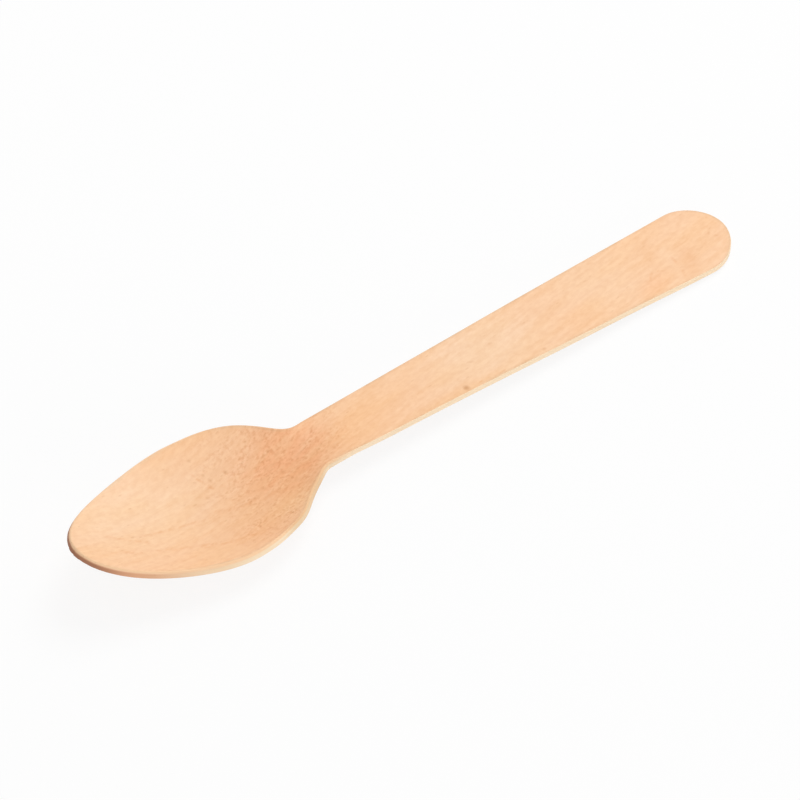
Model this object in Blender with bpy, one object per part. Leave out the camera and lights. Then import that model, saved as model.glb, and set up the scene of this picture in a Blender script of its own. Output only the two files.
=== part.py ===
"""Disposable spoon, pressed from one piece of birch veneer.

Metres, +Z up. The blank is cut from flat veneer and pressed hot between two dies, which sink the
bowl and turn its tip up, while the handle stays flat. The spoon lies along X with its tip at -X,
as it comes to rest on a table: on the underside of its bowl and on the end of its handle.
"""
import math

import bpy
import numpy as np

# Outline of the blank, seen from above. Distances along the spoon start at the tip.
LENGTH = 0.160
BOWL_WIDTH = 0.0319
WIDEST_FROM_TIP = 0.0316
NECK_FROM_TIP = 0.0568
NECK_WIDTH = 0.0116
HANDLE_WIDTH = 0.0172
HANDLE_END_LENGTH = 0.0092

# Fullness of each curve of the outline, as a share of the distance that it spans.
TIP_FULLNESS = 0.60
FRONT_FULLNESS = 0.24
BACK_FULLNESS = 0.71
NECK_FULLNESS = 0.235
END_FULLNESS = 0.52

# Section of the veneer.
VENEER_THICKNESS = 0.0016
EDGE_ROUND = 0.00025
EDGE_SEGMENTS = 2

# Pressed form, measured from the plane of the handle's top face.
BOWL_DEPTH = 0.0052
HOLLOW_PAST_NECK = 0.0065
HOLLOW_EASE = 1.4
TIP_RISE = 0.0067
TIP_CURL_LENGTH = 0.0306

# Mesh: points along each stretch of the outline, and strips across the spoon (an odd number).
FRONT_POINTS = 28
BACK_POINTS = 26
TROUGH_POINTS = 6
HANDLE_POINTS = 6
END_POINTS = 16
CURVE_SAMPLES = 400
STRIPS = 15

# Colour and gloss of bare birch.
BIRCH_COLOUR = (0.87, 0.55, 0.32, 1.0)
BIRCH_ROUGHNESS = 0.62

HOLLOW_LENGTH = NECK_FROM_TIP + HOLLOW_PAST_NECK
STRAIGHT_END = LENGTH - HANDLE_END_LENGTH
FLARE = (HANDLE_WIDTH - NECK_WIDTH) / 2 / (STRAIGHT_END - NECK_FROM_TIP)
TIP_REACH = TIP_FULLNESS * BOWL_WIDTH / 2
TIP_RADIUS = 1.5 * TIP_REACH ** 2 / (WIDEST_FROM_TIP * (1 - FRONT_FULLNESS))


def clear_scene():
    for obj in list(bpy.data.objects):
        bpy.data.objects.remove(obj, do_unlink=True)


def cubic(points, count):
    """Points on a cubic Bezier curve, without its last one."""
    start, leave, arrive, end = (np.array(point) for point in points)
    t = (np.arange(count) / count)[:, None]
    return ((1 - t) ** 3 * start + 3 * t * (1 - t) ** 2 * leave
            + 3 * t ** 2 * (1 - t) * arrive + t ** 3 * end)


def half_outline(front, back, trough, handle, end):
    """Distance from the tip and half width, along one side of the blank, for these point counts."""
    bowl_half = BOWL_WIDTH / 2
    neck_half = NECK_WIDTH / 2
    end_half = HANDLE_WIDTH / 2
    back_span = NECK_FROM_TIP - WIDEST_FROM_TIP
    neck_reach = NECK_FULLNESS * back_span
    end_reach = END_FULLNESS * HANDLE_END_LENGTH

    widest = (WIDEST_FROM_TIP, bowl_half)
    neck = (NECK_FROM_TIP, neck_half)
    shoulder = (STRAIGHT_END, end_half)
    front_curve = cubic([
        (0, 0),
        (0, TIP_REACH),
        (WIDEST_FROM_TIP * (1 - FRONT_FULLNESS), bowl_half),
        widest,
    ], front)
    back_curve = cubic([
        widest,
        (WIDEST_FROM_TIP + BACK_FULLNESS * back_span, bowl_half),
        (NECK_FROM_TIP - neck_reach, neck_half - FLARE * neck_reach),
        neck,
    ], back)
    end_curve = cubic([
        shoulder,
        (STRAIGHT_END + end_reach, end_half + FLARE * end_reach),
        (LENGTH, END_FULLNESS * end_half),
        (LENGTH, 0),
    ], end)
    along = np.concatenate([
        np.linspace(NECK_FROM_TIP, HOLLOW_LENGTH, trough, endpoint=False),
        np.linspace(HOLLOW_LENGTH, STRAIGHT_END, handle, endpoint=False),
    ])
    sides = np.column_stack([along, neck_half + FLARE * (along - NECK_FROM_TIP)])
    return np.vstack([front_curve, back_curve, sides, end_curve, [(LENGTH, 0)]])


def top_height(x, y):
    """Height of the pressed top face above the handle's plane.

    The tip curls up as the square of the distance into the curl. The hollow's depth follows a
    power of a half sine wave along the bowl, and falls off across it as a parabola to the rim.
    """
    fine = half_outline(*[CURVE_SAMPLES] * 5)
    half_width = np.interp(x, fine[:, 0], fine[:, 1])
    across = np.clip(np.abs(y) / np.maximum(half_width, EDGE_ROUND), 0, 1)
    curl = np.clip(1 - x / TIP_CURL_LENGTH, 0, 1)
    wave = np.sin(math.pi * np.clip(x / HOLLOW_LENGTH, 0, 1))
    hollow = BOWL_DEPTH * np.clip(wave, 0, 1) ** HOLLOW_EASE
    return TIP_RISE * curl ** 2 - hollow * (1 - across ** 2)


def face_sheet():
    """Vertices and faces of the top face: rings that shrink from the rim to the middle line.

    Every ring has the rim's points, pulled straight in towards the middle line. Round the tip and
    the handle's end they are pulled towards the centre of that curve. The innermost ring is
    closed by one strip of faces from side to side.
    """
    side = half_outline(FRONT_POINTS, BACK_POINTS, TROUGH_POINTS, HANDLE_POINTS, END_POINTS)
    far_side = side[-2:0:-1] * (1, -1)
    rim = np.vstack([side, far_side])
    focus_x = np.clip(rim[:, 0], TIP_RADIUS, STRAIGHT_END)
    focus = np.column_stack([focus_x, np.zeros(len(rim))])

    rings = (STRIPS + 1) // 2
    shares = 1 - 2 * np.arange(rings) / STRIPS
    plan = focus + shares[:, None, None] * (rim - focus)
    x, y = plan[..., 0].ravel(), plan[..., 1].ravel()
    vertices = np.column_stack([x, y, top_height(x, y)])

    count = len(rim)
    faces = []
    for ring in range(rings - 1):
        outer, inner = ring * count, (ring + 1) * count
        for i in range(count):
            j = (i + 1) % count
            faces.append((outer + j, outer + i, inner + i, inner + j))
    first = (rings - 1) * count
    half = count // 2
    faces.append((first, first + count - 1, first + 1))
    for i in range(1, half - 1):
        faces.append((first + i, first + count - i, first + count - i - 1, first + i + 1))
    faces.append((first + half - 1, first + half + 1, first + half))
    return vertices, faces


def birch():
    material = bpy.data.materials.new("birch_veneer")
    material.use_nodes = True
    surface = material.node_tree.nodes["Principled BSDF"]
    surface.inputs["Base Color"].default_value = BIRCH_COLOUR
    surface.inputs["Roughness"].default_value = BIRCH_ROUGHNESS
    surface.inputs["Metallic"].default_value = 0.0
    return material


def lay_down(spoon):
    """Tilts the spoon until bowl and handle end touch the table, then centres it over the origin.

    As the spoon tilts, a point of the handle's end comes down level with the bowl at the steepest
    of its lines to the bowl's points. The first point to do so stands on the table.
    """
    solid = spoon.evaluated_get(bpy.context.evaluated_depsgraph_get()).to_mesh()
    points = np.empty(len(solid.vertices) * 3)
    solid.vertices.foreach_get("co", points)
    points = points.reshape(-1, 3)
    bowl = points[points[:, 0] < NECK_FROM_TIP]
    handle = points[points[:, 0] > STRAIGHT_END]
    run = handle[:, None, 0] - bowl[None, :, 0]
    drop = handle[:, None, 2] - bowl[None, :, 2]
    tilt = math.atan((drop / run).max(axis=1).min())

    x = points[:, 0] * math.cos(tilt) + points[:, 2] * math.sin(tilt)
    z = points[:, 2] * math.cos(tilt) - points[:, 0] * math.sin(tilt)
    spoon.rotation_euler = (0, tilt, 0)
    spoon.location = (-(x.min() + x.max()) / 2, 0, -z.min())


def make_spoon():
    vertices, faces = face_sheet()
    mesh = bpy.data.meshes.new("spoon")
    mesh.from_pydata(vertices.tolist(), [], faces)
    mesh.shade_smooth()
    mesh.materials.append(birch())
    spoon = bpy.data.objects.new("spoon", mesh)
    bpy.context.collection.objects.link(spoon)

    thickness = spoon.modifiers.new("veneer", "SOLIDIFY")
    thickness.thickness = VENEER_THICKNESS
    thickness.offset = -1
    thickness.use_even_offset = True
    thickness.use_quality_normals = True

    edge = spoon.modifiers.new("eased edge", "BEVEL")
    edge.width = EDGE_ROUND
    edge.segments = EDGE_SEGMENTS
    edge.limit_method = "ANGLE"
    edge.angle_limit = math.radians(60)
    edge.harden_normals = True

    lay_down(spoon)
    return spoon


clear_scene()
make_spoon()
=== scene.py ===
# %% [markdown]
# # A disposable wooden spoon
#
# The object is one piece of birch veneer, cut to an outline and pressed hot between two dies.
# This script puts a finely made skin of the spoon around its measured model, gives it the look of
# bare sanded birch, and sets up a plain table, two lamps and a camera. The measured model comes
# first, because every size below has to agree with it.

import math

import bpy
import numpy as np
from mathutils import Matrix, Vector
from mathutils.bvhtree import BVHTree


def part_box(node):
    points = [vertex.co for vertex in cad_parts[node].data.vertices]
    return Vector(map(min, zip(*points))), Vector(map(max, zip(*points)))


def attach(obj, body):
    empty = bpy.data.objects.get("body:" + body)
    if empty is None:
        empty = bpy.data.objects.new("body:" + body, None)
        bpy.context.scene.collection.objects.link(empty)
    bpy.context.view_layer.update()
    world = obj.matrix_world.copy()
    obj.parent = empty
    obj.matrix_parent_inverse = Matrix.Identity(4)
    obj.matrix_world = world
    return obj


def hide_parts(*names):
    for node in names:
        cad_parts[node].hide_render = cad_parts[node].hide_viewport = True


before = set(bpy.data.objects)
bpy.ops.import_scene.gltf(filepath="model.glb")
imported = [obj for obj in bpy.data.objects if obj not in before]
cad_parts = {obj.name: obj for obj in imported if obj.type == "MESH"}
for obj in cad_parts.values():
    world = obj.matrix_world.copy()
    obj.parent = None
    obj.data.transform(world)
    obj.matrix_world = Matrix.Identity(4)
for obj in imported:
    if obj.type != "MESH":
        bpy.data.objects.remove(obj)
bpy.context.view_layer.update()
cad_low, cad_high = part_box("spoon")
print("measured model, mm:", [round(1000 * side, 1) for side in cad_high - cad_low])

# %% [markdown]
# ## The outline of the blank
#
# Seen from above, each side of the flat blank is four stretches: a curve from the tip to the
# widest line of the bowl, a curve from there through the shoulder into the neck, the straight
# flaring handle, and the round end. The sizes, in millimetres, say where these meet and how wide
# the spoon is there. The shares of fullness say how roundly each curve leaves and arrives.

# %% Sizes of the blank
LENGTH = 160.0
BOWL_WIDTH = 31.9
WIDEST_FROM_TIP = 31.6
NECK_FROM_TIP = 56.8
NECK_WIDTH = 11.6
HANDLE_WIDTH = 17.2
HANDLE_END_LENGTH = 9.2
TIP_FULLNESS = 0.60
FRONT_FULLNESS = 0.24
BACK_FULLNESS = 0.71
NECK_FULLNESS = 0.235
END_FULLNESS = 0.52
STRAIGHT_END = LENGTH - HANDLE_END_LENGTH
FLARE = (HANDLE_WIDTH - NECK_WIDTH) / 2 / (STRAIGHT_END - NECK_FROM_TIP)
TIP_REACH = TIP_FULLNESS * BOWL_WIDTH / 2
TIP_RADIUS = 1.5 * TIP_REACH ** 2 / (WIDEST_FROM_TIP * (1 - FRONT_FULLNESS))
print("radius at the very tip, mm:", round(TIP_RADIUS, 1))

# %% [markdown]
# ## Curves of the outline
#
# A die maker would draw the outline with a few curves. A cubic Bezier curve does that well: it
# needs only its two ends and two points that pull it, and it leaves and arrives exactly in the
# direction of those points, so neighbouring curves join without a kink. The straight handle
# needs no curve, because two points are enough.

# %% Half outline
CURVE_SAMPLES = 3000


def cubic(start, leave, arrive, end):
    """A cubic Bezier curve: the four points, weighted by (1-t)^3, 3t(1-t)^2, 3t^2(1-t) and t^3."""
    t = np.linspace(0, 1, CURVE_SAMPLES, endpoint=False)[:, None]
    points = [np.array(point, float) for point in (start, leave, arrive, end)]
    weights = [(1 - t) ** 3, 3 * t * (1 - t) ** 2, 3 * t ** 2 * (1 - t), t ** 3]
    return sum(weight * point for weight, point in zip(weights, points))


def fine_half_outline():
    """Distance from the tip and half width along one side, finely sampled."""
    bowl, neck, handle = BOWL_WIDTH / 2, NECK_WIDTH / 2, HANDLE_WIDTH / 2
    back_span = NECK_FROM_TIP - WIDEST_FROM_TIP
    neck_reach = NECK_FULLNESS * back_span
    end_reach = END_FULLNESS * HANDLE_END_LENGTH
    return np.vstack([
        cubic((0, 0), (0, TIP_REACH),
              (WIDEST_FROM_TIP * (1 - FRONT_FULLNESS), bowl), (WIDEST_FROM_TIP, bowl)),
        cubic((WIDEST_FROM_TIP, bowl), (WIDEST_FROM_TIP + BACK_FULLNESS * back_span, bowl),
              (NECK_FROM_TIP - neck_reach, neck - FLARE * neck_reach), (NECK_FROM_TIP, neck)),
        cubic((STRAIGHT_END, handle),
              (STRAIGHT_END + end_reach, handle + FLARE * end_reach),
              (LENGTH, END_FULLNESS * handle), (LENGTH, 0)),
        [(LENGTH, 0)],
    ])


FINE = fine_half_outline()
steps = np.hypot(*np.diff(FINE, axis=0).T)
FINE_DISTANCE = np.concatenate([[0], np.cumsum(steps)])
print("half the rim is", round(FINE_DISTANCE[-1], 1), "mm long")

# %% [markdown]
# ## The pressed form
#
# The dies do two things. They curl the tip up, and they sink a hollow that is deepest in the
# middle of the bowl and runs out past the neck. Both are written as a height over the flat
# blank, so any point of the blank can be pressed by asking for its height. The slope is worked
# out from the same formula. It gives the direction square to the sheet, along which the
# thickness of the veneer is laid.

# %% Height and direction of the pressed face
BOWL_DEPTH = 5.2
HOLLOW_PAST_NECK = 6.5
HOLLOW_EASE = 1.4
TIP_RISE = 6.7
TIP_CURL_LENGTH = 30.6
HOLLOW_LENGTH = NECK_FROM_TIP + HOLLOW_PAST_NECK
HAIR = 1e-4
WIDTH_SQUARED = FINE[:, 1] ** 2
# The gradient needs distances that always grow, so a trace is added to each.
WIDTH_SQUARED_SLOPE = np.gradient(WIDTH_SQUARED, FINE[:, 0] + HAIR ** 2 * np.arange(len(FINE)))


def press(x, y):
    """Height of the top face at blank points, and the unit vector square to it.

    height = rise * curl^2 - hollow * (1 - y^2 / w^2), where curl falls evenly from 1 at the tip
    to 0 at the end of the curl, hollow is the depth times a power of a half sine wave, and w is
    the half width of the blank there. The slopes are that formula's derivatives. A point just
    past the outline takes what holds at the outline.
    """
    x = np.maximum(x, HAIR)
    w2 = np.maximum(np.interp(x, FINE[:, 0], WIDTH_SQUARED), HAIR)
    w2_slope = np.interp(x, FINE[:, 0], WIDTH_SQUARED_SLOPE)
    curl = np.clip(1 - x / TIP_CURL_LENGTH, 0, 1)
    phase = math.pi * np.clip(x / HOLLOW_LENGTH, 0, 1)
    wave = np.clip(np.sin(phase), HAIR, 1)
    hollow = BOWL_DEPTH * wave ** HOLLOW_EASE * (phase < math.pi)
    hollow_slope = hollow * HOLLOW_EASE / wave * np.cos(phase) * math.pi / HOLLOW_LENGTH
    across = np.minimum(y ** 2 / w2, 1)
    height = TIP_RISE * curl ** 2 - hollow * (1 - across)
    slope_x = (-2 * TIP_RISE * curl / TIP_CURL_LENGTH - hollow_slope * (1 - across)
               - hollow * across * w2_slope / w2)
    slope_y = 2 * hollow * y / w2
    square = np.stack([-slope_x, -slope_y, np.ones_like(slope_x)], axis=-1)
    return height, square / np.linalg.norm(square, axis=-1, keepdims=True)


lowest, _ = press(np.linspace(20, 45, 100), np.zeros(100))
print("the hollow is", round(-lowest.min(), 2), "mm deep")

# %% [markdown]
# ## The rim in equal steps
#
# The curves above are sampled at uneven distances. A mesh looks best with even faces, so the rim
# is read off them again in equal steps, out along one side and back along the other. The
# direction straight outwards is kept for every step.

# %% Rim
HALF_STEPS = 600


def even_rim():
    """Points of the plain outline in equal steps, out along one side and back along the other."""
    stops = np.linspace(0, FINE_DISTANCE[-1], HALF_STEPS + 1)
    side = np.column_stack([np.interp(stops, FINE_DISTANCE, column) for column in FINE.T])
    loop = np.vstack([side, side[-2:0:-1] * (1, -1)])
    ahead = np.roll(loop, -1, axis=0) - np.roll(loop, 1, axis=0)
    outward = np.column_stack([-ahead[:, 1], ahead[:, 0]])
    return loop, outward / np.linalg.norm(outward, axis=1, keepdims=True)


plain_rim, outward = even_rim()
print("rim points:", len(plain_rim))

# %% [markdown]
# ## Where the cut really runs
#
# A blanking die never cuts quite straight. The cut wanders by a few hundredths of a millimetre,
# and more where it crosses the grain, at the tip and at the handle's end, because fibres break
# there and don't slice. The wander is a sum of a few sine waves along the rim, so it joins up
# without a seam and is the same each time.

# %% Wander of the cut
WANDER = 0.035
RAGGED = 0.030
WANDER_WAVES = (3, 5, 8, 13)
RAGGED_WAVES = (89, 127, 173, 211, 263)


def waves(turn, counts):
    """Mean of sine waves round the rim, each with its own whole number of waves and start."""
    return sum(np.sin(count * turn + count ** 2) for count in counts) / len(counts)


def wandered(outward):
    """How far out the cut wanders: long waves all round, and short ones across the grain."""
    turn = 2 * math.pi * np.arange(len(outward)) / len(outward)
    across_grain = outward[:, 0] ** 2
    return WANDER * waves(turn, WANDER_WAVES) + RAGGED * across_grain * waves(turn, RAGGED_WAVES)


wander = wandered(outward)
print("the cut wanders by up to", round(abs(wander).max(), 3), "mm")

# %% [markdown]
# ## A lopsided spoon
#
# No spoon is quite the same on both sides. The near shoulder of this one is slimmer than its far
# one. A few low bumps, each a bell curve along one side of the rim, say by how much, and the two
# sides blend into each other round the tip and the handle's end.

# %% Bumps of this spoon
NEAR_BUMPS = [
    {"at": 3.0, "reach": 10.0, "outward": 0.36},
    {"at": 28.0, "reach": 10.0, "outward": 0.34},
    {"at": 40.8, "reach": 2.4, "outward": -0.17},
    {"at": 49.0, "reach": 3.2, "outward": -0.52},
    {"at": 53.2, "reach": 1.8, "outward": 0.16},
    {"at": 70.0, "reach": 11.0, "outward": 0.24},
    {"at": 105.0, "reach": 38.0, "outward": 0.12},
    {"at": 146.0, "reach": 9.0, "outward": 0.13},
    {"at": 160.0, "reach": 4.0, "outward": -0.14},
]
FAR_BUMPS = [
    {"at": 2.0, "reach": 9.0, "outward": 0.18},
    {"at": 34.0, "reach": 5.0, "outward": -0.16},
    {"at": 46.0, "reach": 4.0, "outward": 0.20},
    {"at": 54.5, "reach": 3.0, "outward": -0.17},
    {"at": 112.0, "reach": 24.0, "outward": 0.15},
    {"at": 160.0, "reach": 5.0, "outward": -0.10},
]
SIDE_BLEND = 8.0


def bumps(along, bump_list):
    """Sum of bell curves along the spoon: outward * exp(-((along - at) / reach)^2)."""
    at, reach, outward = np.array([list(bump.values()) for bump in bump_list]).T
    return np.sum(outward * np.exp(-((along[:, None] - at) / reach) ** 2), axis=1)


def drift(loop, wander):
    """How far outwards the real cut lies: its wander, and the bumps of the side that it is on."""
    far_share = np.clip(0.5 + loop[:, 1] / SIDE_BLEND, 0, 1)
    far = far_share * bumps(loop[:, 0], FAR_BUMPS)
    near = (1 - far_share) * bumps(loop[:, 0], NEAR_BUMPS)
    return wander + far + near


cut_drift = drift(plain_rim, wander)
rim = plain_rim + outward * cut_drift[:, None]
print("the cut drifts by up to", round(abs(cut_drift).max(), 2), "mm")

# %% [markdown]
# ## The cut edge
#
# The die leaves an edge that is square to the sheet and slightly eased at both corners. Its
# section is a list of points: how far in from the rim each one lies, and how deep in the veneer.

# %% Section of the edge
VENEER_THICKNESS = 1.6
EDGE_ROUND = 0.25
CORNER_STEPS = 5
WALL_STEPS = 5


def edge_section():
    """Inset from the rim and depth in the veneer: quarter circle, straight wall, quarter circle."""
    angle = np.linspace(0, math.pi / 2, CORNER_STEPS + 1)
    corner = np.column_stack([1 - np.sin(angle), 1 - np.cos(angle)]) * EDGE_ROUND
    wall_depth = np.linspace(EDGE_ROUND, VENEER_THICKNESS - EDGE_ROUND, WALL_STEPS + 1)[1:-1]
    wall = np.column_stack([np.zeros_like(wall_depth), wall_depth])
    lower = corner[::-1] * (1, -1) + (0, VENEER_THICKNESS)
    return np.vstack([corner, wall, lower])


section = edge_section()
print("points in the section of the edge:", len(section))

# %% [markdown]
# ## One skin for the whole spoon
#
# The skin is a function of two parameters: a step round the rim, and a step along a profile. The
# profile starts near the middle line on the top face, runs out to the rim, goes round the cut
# edge and comes back under the spoon. Round the tip and the handle's end it fans out from the
# centre of that curve. Each point is first placed in the flat blank, as a distance along, a
# distance across and a depth in the veneer, and is pressed afterwards. The flat place is kept
# with the point, because the grain of the wood was there before the press.

# %% Skin points
FACE_RINGS = 30


def blank_points(rim):
    """Flat place of every skin point, as rows along the profile by steps round the rim."""
    focus = np.column_stack([np.clip(rim[:, 0], TIP_RADIUS, STRAIGHT_END), np.zeros(len(rim))])
    inner_rim = rim - outward * EDGE_ROUND
    shares = np.linspace(0, 1, FACE_RINGS, endpoint=False) + 0.5 / FACE_RINGS
    face = focus + shares[:, None, None] * (inner_rim - focus)
    edge = rim - section[:, 0, None, None] * outward
    plan = np.concatenate([face, edge, face[::-1]])
    depth = np.concatenate([
        np.zeros(FACE_RINGS), section[:, 1], np.full(FACE_RINGS, VENEER_THICKNESS),
    ])
    depth = np.broadcast_to(depth[:, None, None], plan.shape[:2] + (1,))
    return np.concatenate([plan, depth], axis=2)


def pressed_points(blank):
    """Each flat point lifted to the pressed face, then moved into the veneer along its square."""
    height, square = press(blank[..., 0], blank[..., 1])
    face = np.stack([blank[..., 0], blank[..., 1], height], axis=-1)
    return face - square * blank[..., 2:3]


blank = blank_points(rim)
pressed = pressed_points(blank)
print("skin grid:", pressed.shape[0], "rows by", pressed.shape[1], "steps")

# %% [markdown]
# ## Laid on the table
#
# Let go on a table, the spoon lies on the underside of its bowl and on the end of its handle.
# The measured model already lies so. Its tilt is worked out here in the same way as for any
# rigid thing on two supports: as the spoon tilts, each point of the handle's end comes level
# with the bowl at the steepest of its lines to the bowl's points, and the first one to do so
# takes the weight. Only the bowl's lowest points can touch, so the others are left out. Tilt and
# shift come from the plain outline, which is the model's own, so that the drift of the cut
# doesn't move the spoon.

# %% Tilt and shift
LOWEST_KEPT = 600


def resting_place(points):
    """Tilt about Y that levels bowl and handle end, and the shift that centres and grounds them."""
    flat = points.reshape(-1, 3)
    bowl = flat[flat[:, 0] < NECK_FROM_TIP]
    bowl = bowl[np.argsort(bowl[:, 2])[:LOWEST_KEPT]]
    handle = flat[flat[:, 0] > STRAIGHT_END]
    steep = (handle[:, None, 2] - bowl[:, 2]) / (handle[:, None, 0] - bowl[:, 0])
    tilt = math.atan(steep.max(axis=1).min())
    x, y, z = np.moveaxis(tilted(points, tilt), -1, 0)
    return tilt, np.array([-(x.min() + x.max()) / 2, 0, -z.min()])


def tilted(points, tilt):
    """Points turned about Y: x cos + z sin along the table, z cos - x sin above it."""
    x, y, z = np.moveaxis(points, -1, 0)
    along = x * math.cos(tilt) + z * math.sin(tilt)
    above = z * math.cos(tilt) - x * math.sin(tilt)
    return np.stack([along, y, above], axis=-1)


tilt, shift = resting_place(pressed_points(blank_points(plain_rim)))
resting = (tilted(pressed, tilt) + shift) / 1000
print("tilt:", round(math.degrees(tilt), 2), "degrees")

# %% [markdown]
# ## The mesh
#
# A grid that closes on itself round the rim needs only two more strips of faces, which join the
# two sides along the middle line, one on top and one underneath. Blender takes the points and
# faces as plain lists.

# %% Faces and object
def skin_faces(rows, count):
    """Quads between neighbouring rows, then the two strips along the middle line."""
    step = np.arange(count)
    after = np.roll(step, -1)
    base = np.arange(rows - 1)[:, None] * count
    quads = np.stack([base + step, base + count + step, base + count + after, base + after], axis=-1)
    left = np.arange(0, count // 2)
    right = (count - left) % count
    strip = np.stack([left, left + 1, count - left - 1, right], axis=-1)
    under = (rows - 1) * count + strip[:, ::-1]
    return quads.reshape(-1, 4), strip, under


def without_doubles(quad):
    """A strip's first and last quads have two corners in one place, so they become triangles."""
    return list(dict.fromkeys(quad))


rows, count = resting.shape[:2]
quads, strip, under = skin_faces(rows, count)
faces = quads.tolist() + [without_doubles(quad) for quad in strip.tolist() + under.tolist()]
mesh = bpy.data.meshes.new("birch_spoon")
mesh.from_pydata(resting.reshape(-1, 3).tolist(), [], faces)
mesh.shade_smooth()
spoon = bpy.data.objects.new("birch_spoon", mesh)
bpy.context.scene.collection.objects.link(spoon)
print("points:", len(mesh.vertices), " faces:", len(mesh.polygons))

# %% [markdown]
# ## Which way the faces point
#
# The volume, summed over the triangles, is positive only if the faces point outwards. It can also
# be checked against the weight of a real spoon: nearly five cubic centimetres of birch weigh
# about three grams.

# %% Volume
def signed_volume(mesh):
    """Sum over triangles of corner dot (corner x corner) / 6: positive if faces point outwards."""
    mesh.calc_loop_triangles()
    corners = np.empty(len(mesh.loop_triangles) * 3, dtype=np.int32)
    mesh.loop_triangles.foreach_get("vertices", corners)
    a, b, c = resting.reshape(-1, 3)[corners].reshape(-1, 3, 3).transpose(1, 0, 2)
    return np.einsum("ij,ij->i", a, np.cross(b, c)).sum() / 6


volume = signed_volume(mesh)
if volume < 0:
    mesh.flip_normals()
print("volume, cubic cm:", round(abs(volume) * 1e6, 2), " triangles:", len(mesh.loop_triangles))

# %% [markdown]
# ## Facts that the finish needs
#
# Wood has its grain before it is cut and pressed, so its pattern belongs to the flat blank and not
# to the room. Three facts are kept on every point of the mesh for the materials to read: its
# place in the blank in millimetres, its distance from the rim, and how squarely the rim beside it
# cuts across the grain, from 0 along the handle to 1 at the very tip.

# %% Facts kept on the points
def keep(name, values, kind="FLOAT", field="value"):
    """Stores one value, or one vector, for every point of the mesh, in the mesh's own order."""
    attribute = mesh.attributes.new(name, kind, "POINT")
    attribute.data.foreach_set(field, values.astype(np.float32).ravel())


from_rim = np.linalg.norm(blank[..., :2] - rim, axis=-1)
end_grain = np.broadcast_to(outward[:, 0] ** 2, from_rim.shape)
keep("blank_mm", blank, "FLOAT_VECTOR", "vector")
keep("from_rim_mm", from_rim)
keep("end_grain", end_grain)
print("widest place from the rim, mm:", round(from_rim.max(), 1))

# %% [markdown]
# ## Agreement with the measured model
#
# The skin has to lie where the measured solid lies. The nearest distance from a sample of its
# points to the solid's surface shows that at once.

# %% Distance to the measured solid
SAMPLE_STEP = 97


def distance_to_model(points):
    """Distance from each point to the nearest place on the measured solid, in metres."""
    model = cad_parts["spoon"].data
    corners = [vertex.co for vertex in model.vertices]
    tree = BVHTree.FromPolygons(corners, [face.vertices for face in model.polygons])
    return [tree.find_nearest(Vector(point))[3] for point in points]


apart = distance_to_model(resting.reshape(-1, 3)[::SAMPLE_STEP].tolist())
print("furthest from the measured solid, mm:", round(1000 * max(apart), 3))

# %% [markdown]
# ## Nodes by hand
#
# A material in Blender is a graph of nodes. Written in Python it soon grows long, so short
# helpers do the repeated work: one adds a node and fills its inputs with values or links, and the
# others are single steps of arithmetic made with it.

# %% Helpers for nodes
def add_node(tree, kind, inputs, **settings):
    """Adds a node. Each named input gets a value, or a link where the value is a socket."""
    node = tree.nodes.new(kind)
    for name, value in settings.items():
        setattr(node, name, value)
    for name, value in inputs.items():
        if isinstance(value, bpy.types.NodeSocket):
            tree.links.new(value, node.inputs[name])
        else:
            node.inputs[name].default_value = value
    return node


def calculate(tree, operation, *values):
    """One step of arithmetic on numbers."""
    return add_node(tree, "ShaderNodeMath", dict(enumerate(values)), operation=operation).outputs[0]


def calculate_vector(tree, operation, *values):
    """One step of arithmetic on vectors."""
    inputs = dict(enumerate(values))
    return add_node(tree, "ShaderNodeVectorMath", inputs, operation=operation).outputs["Vector"]


def ramp(tree, value, low, high, bottom=0.0, top=1.0):
    """Smooth step: bottom where the value is under low, top where it is over high."""
    inputs = {0: value, 1: low, 2: high, 3: bottom, 4: top}
    return add_node(tree, "ShaderNodeMapRange", inputs, interpolation_type="SMOOTHSTEP").outputs[0]


def fall(tree, value, low, high):
    """Smooth step down: 1 where the value is under low, 0 where it is over high."""
    return ramp(tree, value, low, high, 1.0, 0.0)


print("helpers for nodes: add_node, calculate, calculate_vector, ramp, fall")

# %% [markdown]
# ## Groups of nodes
#
# A group is to nodes what a function is to Python: it is built once, has named inputs and
# outputs, and each material uses it with its own values. One helper starts a group, the other
# places it.

# %% Helpers for groups
def start_group(name, takes, gives):
    """A new node group. takes and gives say the kind of each named socket."""
    tree = bpy.data.node_groups.new(name, "ShaderNodeTree")
    for label, kind in takes.items():
        tree.interface.new_socket(label, in_out="INPUT", socket_type="NodeSocket" + kind)
    for label, kind in gives.items():
        tree.interface.new_socket(label, in_out="OUTPUT", socket_type="NodeSocket" + kind)
    given = tree.nodes.new("NodeGroupInput").outputs
    result = tree.nodes.new("NodeGroupOutput").inputs
    return tree, given, result


def use_group(tree, group, **inputs):
    """Places a group in a material, and gives back its output. Input names have _ for a space."""
    spaced = {name.replace("_", " "): value for name, value in inputs.items()}
    return add_node(tree, "ShaderNodeGroup", spaced, node_tree=group).outputs[0]


print("helpers for groups: start_group, use_group")

# %% [markdown]
# ## Streaks of the grain
#
# Birch fibres run along the tree, so nearly everything in the wood is drawn out along the grain.
# The simplest way to that look is plain noise in stretched space: the place in the blank is
# turned by the lean of the grain, then divided by the length, width and depth of one patch. The
# same group gives broad clouds of colour, hair-fine fibre lines and the layers seen on the edge.

# %% Group: grain noise
NOISE_SPAN = (0.28, 0.72)
NOISE_ROUGHNESS = 0.55


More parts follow.
